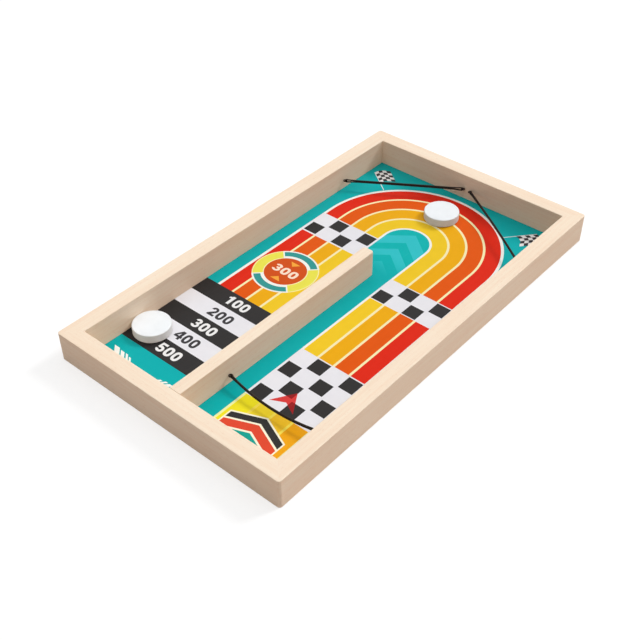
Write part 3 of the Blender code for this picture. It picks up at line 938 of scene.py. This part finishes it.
def bent_wire(bm, path, radius, sides):
    """Round wire along a flat path in XZ, in millimetres, closed at both ends."""
    across = Vector((0, 1, 0))
    angles = [math.tau * step / sides for step in range(sides)]
    loops = []
    for count, point in enumerate(path):
        before, after = path[max(count - 1, 0)], path[min(count + 1, len(path) - 1)]
        out = across.cross((after - before).normalized())
        rim = [point + (out * math.cos(a) + across * math.sin(a)) * radius for a in angles]
        loops.append([bm.verts.new(at * MM) for at in rim])
    for low, high in zip(loops, loops[1:]):
        wall(bm, low, high)
    for loop, point in ((loops[0], path[0]), (loops[-1], path[-1])):
        cap = bm.verts.new(point * MM)
        for here in range(sides):
            bm.faces.new((cap, loop[here], loop[(here + 1) % sides]))


def eye_blank():
    """An eye standing along Z with its foot at the origin and its ring lying in XZ."""
    rings = [(-EYE_DEPTH, POINT_RADIUS)]
    rings += reversed(thread_rings(-1.2, -EYE_DEPTH, pitch=0.8, root=0.55, crest=0.85, taper=2.2))
    rings += [(-1.1, 0.6), (-0.8, 0.56), (-0.4, EYE_WIRE), (0.0, EYE_WIRE), (0.3, EYE_WIRE * 0.98)]
    bm = bmesh.new()
    bm.from_mesh(turned_solid(rings, 16))
    start, stop = RING_TURN
    path = [Vector((0, 0, 0.15)), Vector((0.02, 0, 0.32))]
    for step in range(1, RING_STEPS + 1):
        a = math.radians(start + (stop - start) * step / RING_STEPS)
        path.append(Vector((EYE_RING * math.cos(a), 0, EYE_STANDOFF + EYE_RING * math.sin(a))))
    bent_wire(bm, path, EYE_WIRE, 12)
    bmesh.ops.recalc_face_normals(bm, faces=bm.faces)
    mesh = finished_mesh("eye", bm)
    shade_round(mesh)
    return new_piece("eye", mesh)


LEFTWARD, RIGHTWARD, FRONTWARD = Vector((-1, 0, 0)), Vector((1, 0, 0)), Vector((0, -1, 0))
EYES = {
    "catapult_eye_left": (Vector((7.6, -179.5, EYE_Z)) * MM, RIGHTWARD),
    "catapult_eye_right": (Vector((130.5, -179.5, EYE_Z)) * MM, LEFTWARD),
    "left_corner_eye_side": (Vector((-130.5, 165.0, EYE_Z)) * MM, RIGHTWARD),
    "left_corner_eye_back": (Vector((-3.4, 243.0, BACK_EYE_Z)) * MM, FRONTWARD),
    "right_corner_eye_side": (Vector((130.5, 158.0, EYE_Z)) * MM, LEFTWARD),
    "right_corner_eye_back": (Vector((7.0, 243.0, BACK_EYE_Z)) * MM, FRONTWARD),
}
browned = metal_material(
    "browned_wire", screen(48, 31, 23), screen(26, 17, 13), screen(17, 12, 9),
    roughness=0.5, edge_width=0.1 * MM,
)
eye_places = [(foot, heading, -UP) for foot, heading in EYES.values()]
eyes = set_fixings("screw_eyes", eye_blank(), eye_places, browned, 0.0, 0)
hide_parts(*EYES)
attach(eyes, "tray")


# Elastics
# Three loops of round, braided black-brown elastic cord, each threaded through two eyes and
# lying slack between them. Each loop is made as two halves that meet in the middle.

CORD_RADIUS = 0.9 * MM
CORD_SIDES = 18
CORD_STEP = 0.36 * MM
CORD_SHARP_EDGE = math.radians(80)
STRAND_GAP = 0.93 * MM
STRAND_STEPS = 30
RING_CLEARANCE = 0.05 * MM
TURN_STEPS = 10
BRAID_RELIEF = 0.1 * MM
BRAID_STRANDS = 7
BRAID_PITCH = 3.2 * MM


def elastic_route(start_eye, end_eye, bow, droop):
    """Points of one closed loop through both rings, upper strand first, as the CAD cord runs."""
    rings = [foot + heading * EYE_STANDOFF * MM for foot, heading in (start_eye, end_eye)]
    chord = rings[1] - rings[0]
    sag = bow - UP * droop
    leave, arrive = (chord + sag * 4).normalized(), (chord - sag * 4).normalized()
    hooks = []
    for ring_middle, along in ((rings[0], leave), (rings[1], -arrive)):
        hooks.append(ring_middle + Vector((along.x, along.y, 0)).normalized() * EYE_RING * MM)
    turn_radius = EYE_WIRE * MM + CORD_RADIUS + RING_CLEARANCE
    span = hooks[1] - hooks[0]

    def along_strand(part, level):
        swell = 4 * part * (1 - part)
        heading = (span + sag * 4 * (1 - 2 * part)).normalized()
        lift = heading.cross(UP).normalized().cross(heading)
        apart = STRAND_GAP + (turn_radius - STRAND_GAP) * (1 - swell) ** 5
        return hooks[0] + span * part + sag * swell + lift * apart * level

    def round_the_wire(hook, along, first_level):
        lift = along.cross(UP).normalized().cross(along) * first_level
        angles = [math.pi * step / TURN_STEPS for step in range(1, TURN_STEPS)]
        return [hook + (lift * math.cos(a) - along * math.sin(a)) * turn_radius for a in angles]

    parts = [step / STRAND_STEPS for step in range(STRAND_STEPS + 1)]
    upper = [along_strand(part, 1) for part in parts]
    lower = [along_strand(part, -1) for part in reversed(parts)]
    return upper, round_the_wire(hooks[1], -arrive, 1), lower, round_the_wire(hooks[0], leave, -1)


def cord_tree():
    """Sweeps a braided cord along a path of edges."""
    named = {
        "Geometry": "Geometry", "Cord radius": "Float", "Relief": "Float", "Strands": "Float",
        "Crossings": "Float", "Step": "Float", "Sides": "Int", "Finish": "Material",
    }
    tree, given, result = node_group(
        "GeometryNodeTree", "braided cord", named, {"Geometry": "Geometry"}
    )

    def add_step(kind, inputs, **settings):
        return add_node("GeometryNode" + kind, inputs, tree, **settings).outputs[0]

    def keep(geometry, name, value):
        """The geometry with a number kept at its points under a name."""
        inputs = {"Geometry": geometry, "Name": name, "Value": value}
        return add_step("StoreNamedAttribute", inputs, data_type="FLOAT", domain="POINT")

    def part_way():
        return tree.nodes.new("GeometryNodeSplineParameter").outputs["Factor"]

    path = add_step("MeshToCurve", {"Mesh": given["Geometry"]})
    path = add_step("CurveSplineType", {"Curve": path}, spline_type="CATMULL_ROM")
    path = add_step("ResampleCurve", {"Curve": path, "Length": given["Step"]}, mode="LENGTH")
    sizes = {"Resolution": given["Sides"], "Radius": given["Cord radius"]}
    tube = add_step("CurveToMesh", {
        "Curve": keep(path, "run", part_way()),
        "Profile Curve": keep(add_step("CurvePrimitiveCircle", sizes), "round", part_way()),
        "Fill Caps": True,
    })
    twist = times(point_value(tree, "run", "FLOAT"), given["Crossings"], math.tau)
    around = times(point_value(tree, "round", "FLOAT"), given["Strands"], math.tau)
    one_way = work("COSINE", work("ADD", around, twist))
    other_way = work("COSINE", minus(around, twist))
    braid = work("MAXIMUM", one_way, other_way)
    lift = times(minus(braid, 1.0), given["Relief"])
    out = {0: add_step("InputNormal", {}), "Scale": lift}
    moved = add_node("VectorMath", out, operation="SCALE").outputs[0]
    inputs = {"Geometry": keep(tube, "braid", braid), "Offset": moved}
    end_tree(add_step("SetPosition", inputs), given, result)
    return tree


def cord_material():
    """Dark braided cover, with a painted highlight on its raised crossings and painted shade
    between them, and fibres that fray a little.
    """
    made, shader, place = start_material("braided_elastic")
    braid = add_node("Attribute", {}, made.node_tree, attribute_name="braid").outputs["Fac"]
    fuzz = noise(place, 3200, 3.0, 0.6)
    # Painted light: the braid's raised crossings are lighter as a highlight, and the grooves
    # between them darker as shade.
    colour = paint(screen(12, 10, 9), fade(braid, -0.2, 1.0), screen(44, 33, 25))
    colour = paint(colour, fade(noise(place, 120), 0.55, 0.8), screen(54, 39, 27))
    colour = paint(colour, times(fade(fuzz, 0.6, 0.8), 0.3), screen(80, 62, 47))
    finish_surface(shader, colour, scaled(fuzz, 0.3, 0.5), 0.25, fuzz, 0.03 * MM, 0.6)
    return made


BRAIDED_CORD = cord_tree()
braided = cord_material()


def half_elastic(name, points, node_name):
    """Half a loop of braided cord, swept along the given points."""
    line = bpy.data.meshes.new(name + "_path")
    line.from_pydata(points, [(count, count + 1) for count in range(len(points) - 1)], [])
    length = sum((b - a).length for a, b in zip(points, points[1:]))
    values = {
        "Cord radius": CORD_RADIUS, "Relief": BRAID_RELIEF, "Strands": float(BRAID_STRANDS),
        "Crossings": float(round(length / BRAID_PITCH)), "Step": CORD_STEP, "Sides": CORD_SIDES,
        "Finish": braided,
    }
    piece = grown_piece(name, new_piece(name + "_path", line), BRAIDED_CORD, values)
    shade_round(piece.data, CORD_SHARP_EDGE)
    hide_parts(node_name)
    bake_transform(piece)


ELASTICS = {
    "catapult_elastic": ("catapult_eye_left", "catapult_eye_right", FRONTWARD * 4.4, 4.0),
}
for hand, corner, bow in ((-1, "left_corner", 0.5), (1, "right_corner", 1.5)):
    into_corner = Vector((hand, 1, 0)).normalized()
    ends = (f"{corner}_eye_side", f"{corner}_eye_back")
    ELASTICS[f"{corner}_elastic"] = (*ends, into_corner * bow, 0.0)
for elastic, (near_eye, far_eye, bow, droop) in ELASTICS.items():
    route = elastic_route(EYES[near_eye], EYES[far_eye], bow * MM, droop * MM)
    upper, far_turn, lower, near_turn = route
    middle = STRAND_STEPS // 2
    far_half = upper[middle:] + far_turn + lower[:middle + 1]
    near_half = upper[middle::-1] + near_turn[::-1] + lower[:middle - 1:-1]
    for end, points, eye in (("near", near_half, near_eye), ("far", far_half, far_eye)):
        foot, heading = EYES[eye]
        half_elastic(f"{elastic}_{end}_half", points, elastic)


# Pucks
# Two discs turned from wood with a small rounding on both rims and a shallow hollow underneath,
# sprayed with satin white lacquer. One waits in the scoring lane and one is on the far curve.

PUCK_RADIUS = 21.0
PUCK_BOTTOM = 3.3
PUCK_HEIGHT = 10.0
PUCK_EDGE = 1.0
PUCK_EDGE_STEPS = 8
PUCK_HOLLOW = 0.25
PUCK_SIDES = 128
TURNING_PITCH = 0.55 * MM
PUCKS = {"score_puck": (-109.2, -175.6), "curve_puck": (1.1, 189.69)}


def puck_rings():
    """Rings from the rim of the hollow, round the foot and the top edge, to the top's middle."""
    rings = [
        (PUCK_HOLLOW, 8.0), (PUCK_HOLLOW, 16.6), (PUCK_HOLLOW * 0.6, 17.1), (0.04, 17.4),
        (0.0, 17.8),
    ]
    inner = PUCK_RADIUS - PUCK_EDGE
    for centre, first in ((PUCK_EDGE, -90), (PUCK_HEIGHT - PUCK_EDGE, 0)):
        for step in range(PUCK_EDGE_STEPS + 1):
            angle = math.radians(first + 90 * step / PUCK_EDGE_STEPS)
            out = inner + PUCK_EDGE * math.cos(angle)
            rings.append((centre + PUCK_EDGE * math.sin(angle), out))
    return rings + [(PUCK_HEIGHT, 18.0), (PUCK_HEIGHT, 9.0), (PUCK_HEIGHT, 2.0)]


def lacquer_material(name, middle):
    """Satin white lacquer over a turned disc, scuffed round the rim, with faint turning rings."""
    made, shader, place = start_material(name)
    offset = (-middle[0] * MM, -middle[1] * MM, 0)
    centred = add_node("Mapping", {"Vector": place, "Location": offset}).outputs[0]
    across, along, _ = add_node("SeparateXYZ", {0: centred}).outputs
    turning = work("SINE", times(from_centre(across, along), math.tau / TURNING_PITCH))
    peel = noise(centred, 520, 4.0, 0.55)
    specks = fade(noise(centred, 1500), 0.66, 0.8)
    rub = rubbed_edges(centred, 1.2 * MM)
    cloudy = fade(noise(centred, 70), 0.35, 0.8)
    colour = paint(screen(245, 249, 252), cloudy, screen(239, 243, 246))
    colour = paint(colour, times(rub, 0.35), screen(224, 217, 212))
    colour = paint(colour, times(specks, 0.1), screen(190, 184, 182))
    roughness = scaled(peel, 0.2, scaled(rub, 0.2, 0.3))
    finish_surface(shader, colour, roughness, 0.35, scaled(turning, 0.08, peel), 0.02 * MM)
    return made


for puck, middle in PUCKS.items():
    disc = turned_solid(puck_rings(), PUCK_SIDES)
    disc.name = puck + "_turned"
    disc.transform(Matrix.Translation((middle[0] * MM, middle[1] * MM, PUCK_BOTTOM * MM)))
    piece = new_piece(puck + "_turned", disc, lacquer_material(puck + "_lacquer", middle))
    shade_evenly(piece)
    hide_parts(puck)
    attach(piece, puck)


# Floor, light and camera
# A plain white floor under one large soft key light from behind, a wide overhead light and a
# pale room. The floor is open under the tray, where a light from below shows the underside.
# The camera stands in front and to the right, as in the photograph.

FLOOR_REACH = 6.0
FLOOR_LAP = 6 * MM
FLOOR_LEVEL = 0.02 * MM
FLOOR_BOUNCED = (0.66, 0.54, 0.47, 1.0)
FLOOR_SEEN = (0.4, 0.4, 0.4, 1.0)
FLOOR_GLOW = 0.66
WHITE = (1.0, 1.0, 1.0, 1.0)
LAMPS = (
    ("key", Vector((0.26, 0.72, 0.64)), 1.5, 16),
    ("overhead", Vector((0, 0, 1)), 1.73, 90),
    ("underneath", Vector((0, 0, -1)), 1.6, 90),
)
ROOM_LIGHT = 0.1
LENS = 56.35
CAMERA_PLACE = (0.5403, -0.6624, 0.6927)
CAMERA_TURN = (49.5308, 0.1477, 40.5402)


def seen_rays(tree):
    """1 for the rays that see a thing itself, in a mirror or through glass."""
    rays = tree.nodes.new("ShaderNodeLightPath").outputs
    seen = work("MAXIMUM", rays["Is Camera Ray"], rays["Is Glossy Ray"])
    return work("MAXIMUM", seen, rays["Is Transmission Ray"])


corners = [
    (hand * half_wide, end * half_long, FLOOR_LEVEL)
    for half_wide, half_long in (
        (FLOOR_REACH, FLOOR_REACH), (HALF_WIDTH - FLOOR_LAP, HALF_LENGTH - FLOOR_LAP)
    )
    for hand, end in ((-1, -1), (1, -1), (1, 1), (-1, 1))
]
floor_mesh = bpy.data.meshes.new("floor")
floor_mesh.from_pydata(corners, [], [(n, (n + 1) % 4, 4 + (n + 1) % 4, 4 + n) for n in range(4)])
floor_paint, floor_shader, _ = start_material("floor_paint")
floor_seen = seen_rays(floor_paint.node_tree)
feed(floor_shader, {
    "Base Color": paint(FLOOR_BOUNCED, floor_seen, FLOOR_SEEN),
    "Roughness": 1.0,
    "Specular IOR Level": 0.0,
    "Emission Color": WHITE,
    "Emission Strength": times(floor_seen, FLOOR_GLOW),
})
new_piece("floor", floor_mesh, floor_paint)

for name, towards, strength, spread_angle in LAMPS:
    lamp = bpy.data.lights.new(name, "SUN")
    lamp.energy = strength
    lamp.angle = math.radians(spread_angle)
    holder = bpy.data.objects.new(name, lamp)
    holder.rotation_euler = towards.to_track_quat("Z", "Y").to_euler()
    bpy.context.scene.collection.objects.link(holder)

world = bpy.data.worlds.new("room")
world.use_nodes = True
bpy.context.scene.world = world
room_strength = scaled(seen_rays(world.node_tree), 1.0 - ROOM_LIGHT, ROOM_LIGHT)
feed(world.node_tree.nodes["Background"], {"Color": WHITE, "Strength": room_strength})

camera_data = bpy.data.cameras.new("camera")
camera_data.sensor_width = 36.0
camera_data.lens = LENS
camera_data.clip_end = 50.0
camera = bpy.data.objects.new("camera", camera_data)
camera.location = CAMERA_PLACE
camera.rotation_euler = [math.radians(angle) for angle in CAMERA_TURN]
bpy.context.scene.collection.objects.link(camera)
bpy.context.scene.camera = camera
bpy.context.scene.view_settings.view_transform = "Standard"
